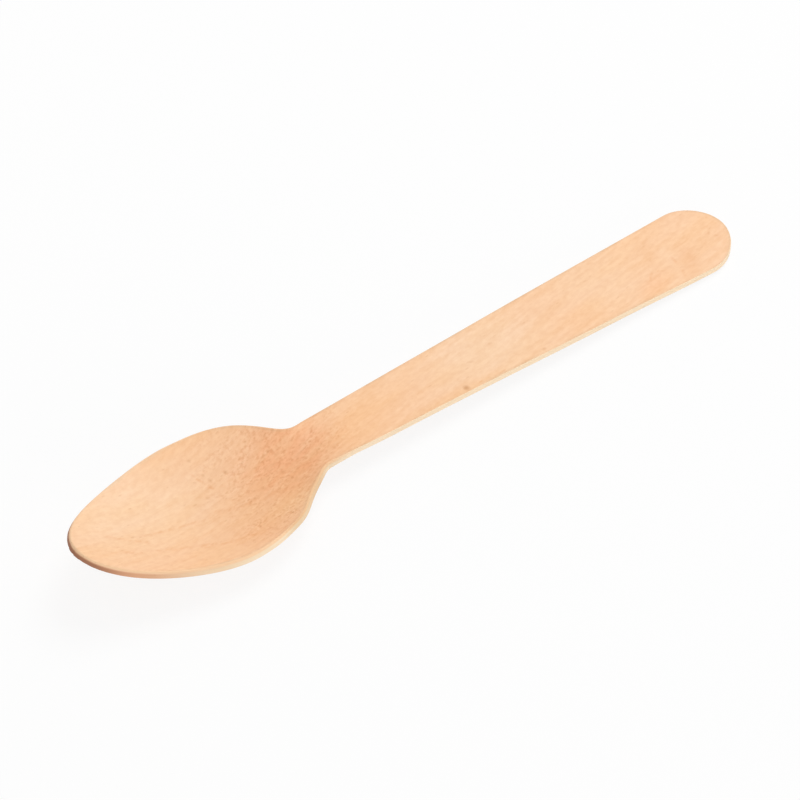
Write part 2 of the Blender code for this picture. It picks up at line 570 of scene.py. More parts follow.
def make_grain_noise():
    """Noise of the turned blank divided by the patch size, spread out to fill 0 to 1."""
    takes = {"Blank": "Vector", "Patch": "Vector", "Lean": "Float", "Detail": "Float"}
    tree, given, result = start_group("grain_noise", takes, {"Value": "Float"})
    turn = {"Vector": given["Blank"], "Angle": given["Lean"]}
    turned = add_node(tree, "ShaderNodeVectorRotate", turn, rotation_type="Z_AXIS")
    place = calculate_vector(tree, "DIVIDE", turned.outputs[0], given["Patch"])
    noise = {"Vector": place, "Scale": 1.0, "Detail": given["Detail"],
             "Roughness": NOISE_ROUGHNESS}
    fac = add_node(tree, "ShaderNodeTexNoise", noise).outputs[0]
    tree.links.new(ramp(tree, fac, *NOISE_SPAN), result["Value"])
    return tree


GRAIN_NOISE = make_grain_noise()
print("nodes in", GRAIN_NOISE.name, "-", len(GRAIN_NOISE.nodes))

# %% [markdown]
# ## Vessels
#
# Birch draws its water through vessels, which the knife lays open as short dashes a fraction of a
# millimetre wide. They are scattered without order, like cells of a Voronoi pattern. Each cell
# has a middle, and a random colour that decides if a vessel is seen there. The pattern is
# stretched along the grain so that round middles become dashes.

# %% Group: vessel dashes
FAINTEST_VESSEL = 0.2


def make_vessels():
    """Up to 1 within Size of a cell's middle, in the Share of cells picked by their colour."""
    takes = {"Blank": "Vector", "Patch": "Vector", "Lean": "Float", "Share": "Float",
             "Size": "Float"}
    tree, given, result = start_group("vessel_dashes", takes, {"Mask": "Float"})
    turn = {"Vector": given["Blank"], "Angle": given["Lean"]}
    turned = add_node(tree, "ShaderNodeVectorRotate", turn, rotation_type="Z_AXIS")
    place = calculate_vector(tree, "DIVIDE", turned.outputs[0], given["Patch"])
    cells = add_node(tree, "ShaderNodeTexVoronoi", {"Vector": place, "Scale": 1.0})
    colour = add_node(tree, "ShaderNodeSeparateColor", {"Color": cells.outputs["Color"]})
    picked = calculate(tree, "LESS_THAN", colour.outputs[0], given["Share"])
    half = calculate(tree, "MULTIPLY", given["Size"], 0.5)
    near = fall(tree, cells.outputs["Distance"], half, given["Size"])
    clear = ramp(tree, colour.outputs[1], 0.0, 1.0, FAINTEST_VESSEL, 1.0)
    seen = calculate(tree, "MULTIPLY", picked, clear)
    tree.links.new(calculate(tree, "MULTIPLY", near, seen), result["Mask"])
    return tree


VESSELS = make_vessels()
print("nodes in", VESSELS.name, "-", len(VESSELS.nodes))

# %% [markdown]
# ## Marks with a place of their own
#
# Some marks are in one place only: the browning where the press squeezed hardest, or a pin knot.
# A soft oval draws them. The distance from its centre is counted in shares of its reach, so one
# group serves every length, width and depth.

# %% Group: oval mark
def make_oval_mark():
    """1 inside an oval that is turned by Lean, 0 outside, with a soft rim of share Soft."""
    takes = {"Blank": "Vector", "Centre": "Vector", "Reach": "Vector", "Lean": "Float",
             "Soft": "Float"}
    tree, given, result = start_group("oval_mark", takes, {"Mask": "Float"})
    turn = {"Vector": given["Blank"], "Center": given["Centre"], "Angle": given["Lean"]}
    turned = add_node(tree, "ShaderNodeVectorRotate", turn, rotation_type="Z_AXIS")
    offset = calculate_vector(tree, "SUBTRACT", turned.outputs[0], given["Centre"])
    place = calculate_vector(tree, "DIVIDE", offset, given["Reach"])
    away = add_node(tree, "ShaderNodeVectorMath", {0: place}, operation="LENGTH").outputs["Value"]
    inner = calculate(tree, "SUBTRACT", 1.0, given["Soft"])
    tree.links.new(fall(tree, away, inner, 1.0), result["Mask"])
    return tree


OVAL_MARK = make_oval_mark()
print("nodes in", OVAL_MARK.name, "-", len(OVAL_MARK.nodes))

# %% [markdown]
# ## Bowed lines
#
# A line of late wood is bowed. In coordinates that start at one end of the line and run along
# it, its middle rises and falls as 4t(1-t), and it fades out towards both ends. A year ring
# passes through the veneer at a slope, so the same line comes out on the underside a little to
# one side.

# %% Group: grain line
RING_SLOPE = 1.4


def make_grain_line():
    """1 on a bowed line that starts at Start and leans by Lean, fading across and at its ends."""
    takes = {"Blank": "Vector", "Start": "Vector", "Length": "Float", "Lean": "Float",
             "Bow": "Float", "Half width": "Float"}
    tree, given, result = start_group("grain_line", takes, {"Mask": "Float"})
    back = calculate(tree, "MULTIPLY", given["Lean"], -1.0)
    turn = {"Vector": given["Blank"], "Center": given["Start"], "Angle": back}
    turned = add_node(tree, "ShaderNodeVectorRotate", turn, rotation_type="Z_AXIS")
    offset = calculate_vector(tree, "SUBTRACT", turned.outputs[0], given["Start"])
    local = add_node(tree, "ShaderNodeSeparateXYZ", {0: offset}).outputs
    t = calculate(tree, "DIVIDE", local["X"], given["Length"])
    rest = calculate(tree, "SUBTRACT", 1.0, t)
    hump = calculate(tree, "MULTIPLY", calculate(tree, "MULTIPLY", t, 4.0), rest)
    middle = calculate(tree, "MULTIPLY", hump, given["Bow"])
    sloped = calculate(tree, "MULTIPLY_ADD", local["Z"], -RING_SLOPE, local["Y"])
    aside = calculate(tree, "ABSOLUTE", calculate(tree, "SUBTRACT", sloped, middle))
    across = fall(tree, aside, 0.0, given["Half width"])
    along = ramp(tree, hump, 0.0, 0.5)
    tree.links.new(calculate(tree, "MULTIPLY", across, along), result["Mask"])
    return tree


GRAIN_LINE = make_grain_line()
print("node groups:", ", ".join(group.name for group in bpy.data.node_groups))

# %% [markdown]
# ## Tinting
#
# Stains, pores and press marks never cover wood like paint. They let less light back, and more of
# the red than of the blue. Multiplying by a tint does just that, as far as a mask says. A pale
# zone is the same with a tint just over 1.

# %% Colours and facts in a material
def mix_colours(tree, blend, amount, first, second):
    """Mixes two colours; each is a plain triple or a socket, and so is the amount."""
    mix = add_node(tree, "ShaderNodeMix", {}, data_type="RGBA", blend_type=blend)
    sockets = {socket.name: socket for socket in mix.inputs if socket.enabled}
    for name, value in {"Factor": amount, "A": first, "B": second}.items():
        if isinstance(value, bpy.types.NodeSocket):
            tree.links.new(value, sockets[name])
        else:
            sockets[name].default_value = (*value, 1)
    return next(socket for socket in mix.outputs if socket.enabled)


def tinted(tree, colour, *layers):
    """The colour multiplied by the tint of each layer in turn, as far as the layer's mask says."""
    for mask, tint in layers:
        colour = mix_colours(tree, "MULTIPLY", mask, colour, tint)
    return colour


def fact(tree, name, output):
    """Reads one of the facts kept on the points."""
    return add_node(tree, "ShaderNodeAttribute", {}, attribute_name=name).outputs[output]


def start_material(name):
    """A material with its own Principled shader, and the node tree to fill."""
    material = bpy.data.materials.new(name)
    material.use_nodes = True
    return material, material.node_tree, material.node_tree.nodes["Principled BSDF"]


print("helpers for materials: mix_colours, tinted, fact, start_material")

# %% [markdown]
# ## Grain and ovals in the blank
#
# The grain leans nine degrees across this spoon, because blanks are cut from a wide sheet without
# much care for its direction. Each use of the grain and of the oval says how far it reaches along
# the spoon, across it and into the veneer. One that reaches further than the veneer is thick
# shows on the underside too.

# %% Grain and ovals
GRAIN_LEAN = math.radians(9)


def grain(tree, blank, patch, detail=2.0, lean=GRAIN_LEAN):
    """Grain noise with patches of the given length, width and depth in millimetres."""
    return use_group(tree, GRAIN_NOISE, Blank=blank, Patch=patch, Lean=-lean, Detail=detail)


def oval(tree, blank, at, reach, deep, lean=0.0, soft=0.9):
    """Mask of an oval on the top face, with its place, half sizes and depth in millimetres."""
    return use_group(tree, OVAL_MARK, Blank=blank, Centre=(*at, 0.0), Reach=(*reach, deep),
                     Lean=math.radians(lean), Soft=soft)


def oval_layers(tree, blank, places, deep):
    """Mask and tint of each place in a list."""
    for place in places:
        shape = {name: value for name, value in place.items() if name != "tint"}
        yield oval(tree, blank, deep=deep, **shape), place["tint"]


print("lean of the grain:", round(math.degrees(GRAIN_LEAN)), "degrees")

# %% [markdown]
# ## The ground of the face
#
# Birch is pale and even, and all of its figure is faint. Three layers of the same noise make the
# ground: broad clouds between a pink and a golden tone, long soft streaks of fibre, and a short
# mottle. A few wide zones are paler or more golden than the rest: the front of the bowl is pale,
# the neck golden, and the middle of the handle pale again. One small pale zone on the near wall
# of the bowl is painted light, where the lamps reach the wood too little.

# %% Ground colour
PINK_BIRCH = (0.995, 0.652, 0.412)
GOLD_BIRCH = (0.990, 0.632, 0.372)
STREAK_TINT = (0.975, 0.945, 0.915)
MOTTLE_TINT = (0.948, 0.902, 0.858)
CLOUD_PATCH = (18, 6, 2)
MOTTLE_PATCH = (1.6, 0.9, 0.8)
ZONE_DEPTH = 9.0
WIDE_ZONES_AND_PAINTED_LIGHT = [
    {"at": (17.5, 7.0), "reach": (27.0, 17.0), "tint": (1.0, 1.085, 1.16)},
    {"at": (43.0, -4.0), "reach": (17.0, 16.0), "tint": (1.0, 0.950, 0.890)},
    {"at": (37.0, -12.0), "reach": (11.0, 8.0), "tint": (0.997, 0.945, 0.910)},
    # Painted light: a pale zone on the near wall of the bowl, where the lamps reach too little.
    {"at": (47.0, -9.0), "reach": (7.0, 6.0), "tint": (1.02, 1.03, 1.01)},
    {"at": (65.0, -1.5), "reach": (23.0, 12.0), "tint": (1.0, 0.937, 0.850)},
    {"at": (99.0, 0.0), "reach": (18.0, 14.0), "tint": (1.0, 1.07, 1.15)},
    {"at": (121.0, -4.0), "reach": (9.0, 6.0), "tint": (1.0, 0.97, 0.93)},
    {"at": (128.0, 2.0), "reach": (13.0, 14.0), "tint": (1.0, 1.03, 1.06)},
]


def ground_colour(tree, blank, streaks):
    """Clouds between pink and gold, times the tints of wide zones (one of them painted light),
    streaks and mottle.
    """
    clouds = grain(tree, blank, CLOUD_PATCH)
    mottle = grain(tree, blank, MOTTLE_PATCH, detail=3.0)
    return tinted(tree, mix_colours(tree, "MIX", clouds, PINK_BIRCH, GOLD_BIRCH),
                  *oval_layers(tree, blank, WIDE_ZONES_AND_PAINTED_LIGHT, ZONE_DEPTH),
                  (streaks, STREAK_TINT), (mottle, MOTTLE_TINT))


print("wide zones:", len(WIDE_ZONES_AND_PAINTED_LIGHT))

# %% [markdown]
# ## What the press did
#
# The back of the bowl bends the veneer hardest. There the hot die scorched it a little redder and
# crushed its fibres into a fine stipple, darker and lighter by turns. The darker, redder oval there
# is part scorch and part painted shade, because that slope of the bowl faces away from the light.
# The stipple also runs down the near wall of the bowl, further than the scorch.

# %% Press marks
# Part scorch, part painted shade of the bowl's back slope, which faces away from the light.
SCORCH_AND_SHADE_TINT = (0.987, 0.836, 0.765)
STIPPLE_DARK = (0.915, 0.837, 0.775)
STIPPLE_LIGHT = (1.03, 1.075, 1.11)
PRESS_DEPTH = 6.0
SCORCHED_AND_SHADED = {"at": (51.5, 1.0), "reach": (16.0, 14.0), "soft": 0.95}
CRUSHED_BACK = {"at": (50.0, 1.5), "reach": (24.0, 24.0), "soft": 0.85}
CRUSHED_NEAR = {"at": (41.0, -9.5), "reach": (12.0, 9.0), "soft": 0.75}
FRAY_PATCH = (6, 1.8, 1)
CLUMP_PATCH = (4.0, 2.2, 1.5)
SPECK_PATCH = (0.85, 0.55, 0.5)
SPECK_MIDDLE = 0.45
# From which noise to which, and the strength at each.
FRAYED = (0.0, 1.0, 0.65, 1.2)
CLUMPED = (0.1, 0.9, 0.3, 1.1)


def scorch_and_shade_mask(tree, blank):
    """Where the press worked hardest, with painted shade of the back slope: a wide oval, frayed by
    the grain.
    """
    wide = oval(tree, blank, deep=PRESS_DEPTH, **SCORCHED_AND_SHADED)
    frayed = ramp(tree, grain(tree, blank, FRAY_PATCH), *FRAYED)
    return calculate(tree, "MULTIPLY", wide, frayed)


def crushed_fibres(tree, blank):
    """Masks of the crushed ground at the bowl's back, and of its dark and light specks."""
    back = oval(tree, blank, deep=PRESS_DEPTH, **CRUSHED_BACK)
    near_wall = oval(tree, blank, deep=PRESS_DEPTH, **CRUSHED_NEAR)
    around = calculate(tree, "MAXIMUM", back, near_wall)
    clumps = ramp(tree, grain(tree, blank, CLUMP_PATCH), *CLUMPED)
    crushed = calculate(tree, "MULTIPLY", around, clumps)
    specks = grain(tree, blank, SPECK_PATCH, detail=1.5)
    dark = calculate(tree, "MULTIPLY", ramp(tree, specks, SPECK_MIDDLE, 1.0), crushed)
    light = calculate(tree, "MULTIPLY", fall(tree, specks, 0.0, SPECK_MIDDLE), crushed)
    return crushed, dark, light


print("press marks reach", PRESS_DEPTH, "mm deep, so they show underneath too")

# %% [markdown]
# ## Lines of late wood
#
# Late wood, grown in autumn, shows as long faint lines that run with the grain and are bowed
# where the knife met the year ring at a slant. Near the handle's end they turn into a small
# hooked figure. A picture painted by hand could hold all this, but it would blur when seen from
# close by. A list of places for the line group stays sharp, and says what is where. Places are
# in millimetres on the blank, from the tip and from the middle line.

# %% Lines of late wood
LATE_WOOD_TINT = (0.955, 0.885, 0.82)
BREAK_PATCH = (1.8, 1.0, 1)
BROKEN = (0.1, 0.9, 0.1, 1.0)
LATE_WOOD_LINES = [
    {"start": (7.0, 2.4), "length": 11, "lean": -22, "bow": 0.3, "half": 0.9},
    {"start": (5.5, -2.6), "length": 25, "lean": -13, "bow": 0.9, "half": 0.85},
    {"start": (14.0, 0.7), "length": 19, "lean": -5, "bow": 0.6, "half": 0.7},
    {"start": (30.0, 0.4), "length": 22, "lean": -17, "bow": 0.2, "half": 1.1},
    {"start": (24.0, -7.2), "length": 16, "lean": -20, "bow": 0.4, "half": 0.8},
    {"start": (33.6, 9.8), "length": 7.5, "lean": -63, "bow": -0.3, "half": 0.55},
    {"start": (33.0, 7.4), "length": 5.6, "lean": -48, "bow": 0.2, "half": 0.5},
    {"start": (91.0, -5.9), "length": 16, "lean": -3.5, "bow": -0.1, "half": 0.55},
    {"start": (137.7, -4.4), "length": 4.4, "lean": 12, "bow": 1.2, "half": 0.6},
    {"start": (145.3, -0.9), "length": 7.5, "lean": -98, "bow": 0.4, "half": 0.6},
]


def late_wood_layers(tree, blank):
    """Mask and tint of each line, broken up by short patches of the grain."""
    broken = ramp(tree, grain(tree, blank, BREAK_PATCH), *BROKEN)
    for line in LATE_WOOD_LINES:
        mask = use_group(tree, GRAIN_LINE, Blank=blank, Start=(*line["start"], 0.0),
                         Length=line["length"], Lean=math.radians(line["lean"]),
                         Bow=line["bow"], Half_width=line["half"])
        yield calculate(tree, "MULTIPLY", mask, broken), LATE_WOOD_TINT


print("lines of late wood:", len(LATE_WOOD_LINES))

# %% [markdown]
# ## Spots
#
# Every spot is the same soft oval with its own place, size and tint, so a list of plain records
# describes them all and is easy to change. The first two are the knot and its halo. The small
# ones are specks of bark and single opened vessels. The large faint ones lie at the handle's
# end, where the year rings turn. A spot is less deep than the veneer, so the underside is clear.

# %% Spots
SPOT_DEPTH = 1.2
DARK_SPECK = (0.90, 0.85, 0.80)
SOFT_SPECK = (0.93, 0.89, 0.85)
BARK_SPECK = (0.92, 0.86, 0.80)
FAINT_SPECK = (0.94, 0.89, 0.84)
SPOTS = [
    {"at": (90.2, -5.8), "reach": (1.2, 1.0), "lean": 60, "soft": 1.0, "tint": (0.74, 0.63, 0.53)},
    {"at": (89.0, -6.3), "reach": (14.0, 2.5), "lean": -2, "soft": 0.95, "tint": (0.985, 0.93, 0.83)},
    {"at": (94.9, -0.8), "reach": (1.1, 0.5), "lean": 20, "tint": (0.93, 0.88, 0.82)},
    {"at": (101.1, 1.0), "reach": (0.8, 0.5), "tint": FAINT_SPECK},
    {"at": (109.2, -6.4), "reach": (0.8, 0.5), "tint": BARK_SPECK},
    {"at": (17.3, -6.6), "reach": (0.6, 0.5), "tint": BARK_SPECK},
    {"at": (155.7, -0.5), "reach": (0.9, 0.45), "lean": -50, "tint": FAINT_SPECK},
    {"at": (156.6, -1.9), "reach": (0.8, 0.45), "lean": 30, "tint": FAINT_SPECK},
    {"at": (138.0, -5.6), "reach": (6.5, 3.2), "lean": -15, "tint": (1.0, 0.935, 0.88)},
    {"at": (144.9, -0.3), "reach": (2.6, 5.0), "lean": 20, "tint": (1.01, 1.035, 1.07)},
    {"at": (142.0, 2.4), "reach": (2.2, 6.0), "lean": 20, "tint": (0.975, 0.945, 0.91)},
    {"at": (148.0, -3.8), "reach": (3.0, 6.8), "lean": 24, "tint": (0.970, 0.920, 0.87)},
    {"at": (34.8, 11.7), "reach": (0.7, 0.5), "lean": 50, "tint": DARK_SPECK},
    {"at": (35.7, 8.0), "reach": (0.7, 0.5), "lean": 50, "tint": DARK_SPECK},
    {"at": (36.3, 6.4), "reach": (0.8, 0.5), "lean": 60, "tint": DARK_SPECK},
    {"at": (39.9, 6.2), "reach": (0.8, 0.6), "lean": 40, "tint": DARK_SPECK},
    {"at": (33.4, 7.6), "reach": (0.7, 0.4), "lean": 30, "tint": SOFT_SPECK},
    {"at": (33.7, 3.4), "reach": (0.7, 0.5), "lean": 50, "tint": SOFT_SPECK},
]
print("spots:", len(SPOTS))

# %% [markdown]
# ## Vessels in the face, and the line along its rim
#
# Vessels are drawn twice, sparse all over and crowded where the press opened them. Along the rim
# a thin line is a little darker than the face: part bruise of the cut, part painted shade where
# the face turns over the eased corner.

# %% Vessels and rim line
VESSEL_TINT = (0.87, 0.79, 0.71)
SPARSE = {"Patch": (1.7, 0.6, 0.9), "Share": 0.14, "Size": 0.34}
CROWDED = {"Patch": (1.0, 0.6, 0.6), "Share": 0.30, "Size": 0.45}
SPARSE_SEEN = 0.5
# The rim line: part bruise of the cut, part painted shade of the eased corner.
RIM_BRUISE_AND_SHADE_TINT = (0.895, 0.910, 0.905)
RIM_BRUISE_AND_SHADE_PATCH = (9, 9, 9)
RIM_BRUISE_AND_SHADE_FADES = (0.2, 0.75)
# From where to where, and the strength at each.
RIM_BRUISE_AND_SHADE_PATCHY = (0.3, 0.8, 0.45, 1.0)
RIM_BRUISE_AND_SHADE_PAST_TIP = (8.0, 24.0, 0.25, 1.0)


def vessels(tree, blank, crushed):
    """Mask of the vessels: a few everywhere, more of them and rounder where the wood is crushed."""
    sparse = use_group(tree, VESSELS, Blank=blank, Lean=-GRAIN_LEAN, **SPARSE)
    crowded = use_group(tree, VESSELS, Blank=blank, Lean=-GRAIN_LEAN, **CROWDED)
    faint = calculate(tree, "MULTIPLY", sparse, SPARSE_SEEN)
    return calculate(tree, "MAXIMUM", faint, calculate(tree, "MULTIPLY", crowded, crushed))


def rim_bruise_and_shade(tree, blank):
    """A thin darker line beside the rim, part bruise and part painted shade, stronger here and weaker
    there, and faint round the tip.
    """
    line = fall(tree, fact(tree, "from_rim_mm", "Fac"), *RIM_BRUISE_AND_SHADE_FADES)
    patchy = ramp(tree, grain(tree, blank, RIM_BRUISE_AND_SHADE_PATCH, detail=0.0), *RIM_BRUISE_AND_SHADE_PATCHY)
    along = add_node(tree, "ShaderNodeSeparateXYZ", {0: blank}).outputs["X"]
    past_tip = ramp(tree, along, *RIM_BRUISE_AND_SHADE_PAST_TIP)
    return calculate(tree, "MULTIPLY", calculate(tree, "MULTIPLY", line, patchy), past_tip)


print("share of cells with a vessel:", SPARSE["Share"], " where crushed:", CROWDED["Share"])

# %% [markdown]
# ## Relief
#
# The patterns that colour the wood also drive its bump, so the relief lies exactly under its
# colour: fibres stand up by a few thousandths of a millimetre, and vessels and crushed fibres
# are pits.

# %% Relief
MILLIMETRE = 0.001
FIBRE_HEIGHT = 0.006
VESSEL_DEPTH = 0.015
STIPPLE_DEPTH = 0.008


def relief(tree, surface, parts):
    """Bump from the sum of masks times heights in millimetres."""
    total = calculate(tree, "MULTIPLY", *parts[0])
    for mask, height in parts[1:]:
        total = calculate(tree, "MULTIPLY_ADD", mask, height, total)
    bump = {"Height": total, "Strength": 1.0, "Distance": MILLIMETRE}
    tree.links.new(add_node(tree, "ShaderNodeBump", bump).outputs[0], surface.inputs["Normal"])


print("deepest pit of the face, mm:", VESSEL_DEPTH)

# %% [markdown]
# ## The face as a whole
#
# The layers go on in the order in which they came: ground, late wood and spots, vessels, the
# marks of the press with the painted shade of the bowl's back, and last the rim line with its
# painted shade. The streaks also steer the gloss: where they are dark, the wood is a little
# rougher.

# %% Face wood
STREAK_PATCH = (12, 1.0, 0.6)
FIBRE_PATCH = (5, 0.3, 0.4)
MATT = (0.56, 0.68)


def make_face_wood():
    """All layers of the face, in the order in which they came."""
    material, tree, surface = start_material("birch_face")
    blank = fact(tree, "blank_mm", "Vector")
    streaks = grain(tree, blank, STREAK_PATCH, detail=3.0)
    fibres = grain(tree, blank, FIBRE_PATCH, detail=1.0)
    crushed, dark_specks, light_specks = crushed_fibres(tree, blank)
    dashes = vessels(tree, blank, crushed)

    colour = tinted(
        tree, ground_colour(tree, blank, streaks),
        *late_wood_layers(tree, blank), *oval_layers(tree, blank, SPOTS, SPOT_DEPTH),
        (dashes, VESSEL_TINT), (scorch_and_shade_mask(tree, blank), SCORCH_AND_SHADE_TINT),
        (dark_specks, STIPPLE_DARK), (light_specks, STIPPLE_LIGHT),
        (rim_bruise_and_shade(tree, blank), RIM_BRUISE_AND_SHADE_TINT),
    )
    tree.links.new(colour, surface.inputs["Base Color"])
    tree.links.new(ramp(tree, streaks, 0.0, 1.0, *MATT), surface.inputs["Roughness"])
    relief(tree, surface, [
        (fibres, FIBRE_HEIGHT), (dashes, -VESSEL_DEPTH), (dark_specks, -STIPPLE_DEPTH),
    ])
    return material


FACE_WOOD = make_face_wood()
print("nodes in the face:", len(FACE_WOOD.node_tree.nodes))

# %% [markdown]
# ## Tints of the edge
#
# Along the spoon the cut shows long fibres, and they are paler than the face, a warm cream, in
# thin layers that follow the veneer. Where the cut crosses the grain it shows fibre ends, which
# drink light and look tan. The tip is different again. The hot die pinched it hard, and its edge
# is browned. Over its first eight millimetres the edge is also darker towards its lower side. The
# browning fades out along the first two centimetres, into a warmer stretch under the front of
# the bowl. Beside the scorched back of the bowl the edge is duller, because the heat reached it
# too.

# %% Tints and stretches of the edge
CREAM = (0.985, 0.785, 0.560)
FACE_OVER_CREAM = (1.0, 0.835, 0.710)
END_GRAIN_TINT = (0.93, 0.84, 0.77)
WARM_TINT = (0.950, 0.880, 0.815)
SHOULDER_TINT = (0.880, 0.840, 0.770)
TAN_TINT = (0.80, 0.53, 0.43)
# Darker towards the lower side of the edge at the very tip.
TIP_LOWER_DARK_TINT = (0.56, 0.52, 0.53)
LAYER_TINT = (0.96, 0.93, 0.89)
# Along the spoon: where a tint starts, where it is full, where it starts to fade and ends.
SHOULDER_ALONG = (37.0, 42.0, 52.0, 62.0)
WARM_ALONG = (4.0, 12.0, 23.0, 31.0)
# Along the spoon: where a tint starts to fade and ends.
BOWL_FADES = (55.0, 66.0)
TAN_FADES = (4.0, 23.0)
TIP_LOWER_DARK_FADES = (0.0, 8.0)
# Down from the top face: where one layer gives way to the next.
TOP_FADES = (0.35, 0.75)
UNDER_TOP = (0.3, 0.75)
TIP_LOWER_DARK_DEPTHS = (0.35, 0.9)


def both(tree, first, second):
    """Mask of what lies in both masks."""
    return calculate(tree, "MULTIPLY", first, second)


def stretch(tree, along, start, full, fade, end):
    """Mask of one stretch of the spoon: rises from start to full, and falls from fade to end."""
    return both(tree, ramp(tree, along, start, full), fall(tree, along, fade, end))


print("the browning of the tip's edge ends at", TAN_FADES[1], "mm")

# %% [markdown]
# ## The edge as a whole
#
# The edge is built like the face, as one colour times a row of tints. Each mask is a stretch
# along the spoon, a depth in the veneer, or both at once. The pores of the fibre ends are the
# vessels again, cut across, so they are small and round.

# %% Edge wood
LAYER_PATCH = (9, 9, 0.22)
PORES = {"Patch": (0.45, 0.45, 0.35), "Share": 0.35, "Size": 0.4}
EDGE_MATT = 0.7
CROSS_CUT = (0.05, 0.6)


def make_edge_wood():
    """Cream in thin layers, times the tints of the stretches along the spoon and of the depths."""
    material, tree, surface = start_material("birch_cut_edge")
    blank = fact(tree, "blank_mm", "Vector")
    place = add_node(tree, "ShaderNodeSeparateXYZ", {0: blank}).outputs
    along, depth = place["X"], place["Z"]
    ends = fact(tree, "end_grain", "Fac")
    layers = grain(tree, blank, LAYER_PATCH, detail=1.0, lean=0.0)
    pores = use_group(tree, VESSELS, Blank=blank, Lean=0.0, **PORES)
    top = fall(tree, depth, *TOP_FADES)
    under_top = ramp(tree, depth, *UNDER_TOP)
    low = ramp(tree, depth, *TIP_LOWER_DARK_DEPTHS)

    colour = tinted(
        tree, CREAM, (layers, LAYER_TINT),
        (both(tree, top, fall(tree, along, *BOWL_FADES)), FACE_OVER_CREAM),
        (stretch(tree, along, *SHOULDER_ALONG), SHOULDER_TINT),
        (both(tree, ramp(tree, ends, *CROSS_CUT), under_top), END_GRAIN_TINT),
        (both(tree, pores, ends), VESSEL_TINT),
        (both(tree, stretch(tree, along, *WARM_ALONG), under_top), WARM_TINT),
        (both(tree, fall(tree, along, *TAN_FADES), under_top), TAN_TINT),
        (both(tree, fall(tree, along, *TIP_LOWER_DARK_FADES), low), TIP_LOWER_DARK_TINT),
    )
    tree.links.new(colour, surface.inputs["Base Color"])
    surface.inputs["Roughness"].default_value = EDGE_MATT
    relief(tree, surface, [(layers, FIBRE_HEIGHT), (pores, -VESSEL_DEPTH)])
    return material


EDGE_WOOD = make_edge_wood()
print("nodes in the edge:", len(EDGE_WOOD.node_tree.nodes))

# %% [markdown]
# ## Which faces are edge
#
# The tumbling that takes the splinters off also rubs the colour of the face over the corners. So
# the first steps of each corner keep the face's material, and the edge's own starts after them.

# %% Material of each face of the mesh
RUBBED_STEPS = 2

mesh.materials.append(FACE_WOOD)
mesh.materials.append(EDGE_WOOD)
row_of_quad = np.repeat(np.arange(rows - 1), count)
wall_top = FACE_RINGS + RUBBED_STEPS
wall_bottom = rows - 1 - wall_top
on_wall = (row_of_quad >= wall_top) & (row_of_quad < wall_bottom)
slots = np.zeros(len(mesh.polygons), dtype=np.int32)
slots[:len(on_wall)] = on_wall
mesh.polygons.foreach_set("material_index", slots)
print("faces on the cut edge:", int(slots.sum()))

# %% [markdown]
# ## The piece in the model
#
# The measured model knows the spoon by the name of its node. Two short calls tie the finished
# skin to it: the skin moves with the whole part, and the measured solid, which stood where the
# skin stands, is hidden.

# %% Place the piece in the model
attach(spoon, "root")
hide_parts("spoon")
print("materials of the spoon:", ", ".join(material.name for material in mesh.materials))

# %% [markdown]
# ## Camera
#
# The photograph looks down at the spoon at about fifty degrees and across it from one side, from
# well over a metre away, so that its lines hardly run together. The camera is placed the same
# way: a turn about the upright axis, a height above the table and a distance fix where it is. The
# length of the lens then follows from how many pixels the spoon's length has to span, and the
# point that it aims at from the pixel on which the middle of the spoon lies.

# %% Camera
VIEW_TURN = math.radians(36.2)
VIEW_HEIGHT = math.radians(51.0)
SPOON_METRES = LENGTH / 1000
VIEW_DISTANCE = SPOON_METRES / 0.12
FRAME_PIXELS = 800
PIXELS_PER_LENGTH = 800.2
ORIGIN_PIXEL = (407.2, 407.5)
SENSOR = 36.0

back = Vector((-math.sin(VIEW_TURN) * math.cos(VIEW_HEIGHT),
               -math.cos(VIEW_TURN) * math.cos(VIEW_HEIGHT),
               math.sin(VIEW_HEIGHT)))
right = Vector((math.cos(VIEW_TURN), -math.sin(VIEW_TURN), 0))
up = back.cross(right)
metres_per_pixel = SPOON_METRES / PIXELS_PER_LENGTH
across_pixels = FRAME_PIXELS / 2 - ORIGIN_PIXEL[0]
down_pixels = FRAME_PIXELS / 2 - ORIGIN_PIXEL[1]
target = (right * across_pixels - up * down_pixels) * metres_per_pixel

lens = bpy.data.cameras.new("camera")
lens.sensor_width = SENSOR
lens.lens = PIXELS_PER_LENGTH / SPOON_METRES * VIEW_DISTANCE / FRAME_PIXELS * SENSOR
lens.clip_end = 10
camera = bpy.data.objects.new("camera", lens)
camera.location = target + back * VIEW_DISTANCE
camera.rotation_euler = back.to_track_quat("Z", "Y").to_euler()
bpy.context.scene.collection.objects.link(camera)
bpy.context.scene.camera = camera
print("lens, mm:", round(lens.lens, 1))

# %% [markdown]
# ## Light
#
# A bare white studio lights from all sides, and a little more from where its lamps stand. The
# world gives the even part. A large round lamp behind the handle gives the faces their slight
# fall of light, and a low one in front fills the edge that the camera sees. Their shares add up
# so that a level white surface comes out at about white, and a colour as it was written.

# %% Lamps
LAMP_DISTANCE = 1.3
KEY_LEVEL = 0.50
KEY_TURN = math.radians(25)
KEY_HEIGHT = math.radians(56)
KEY_SIZE = 0.8
FILL_LEVEL = 0.31
FILL_TURN = math.radians(-100)
FILL_HEIGHT = math.radians(10)
FILL_SIZE = 0.7


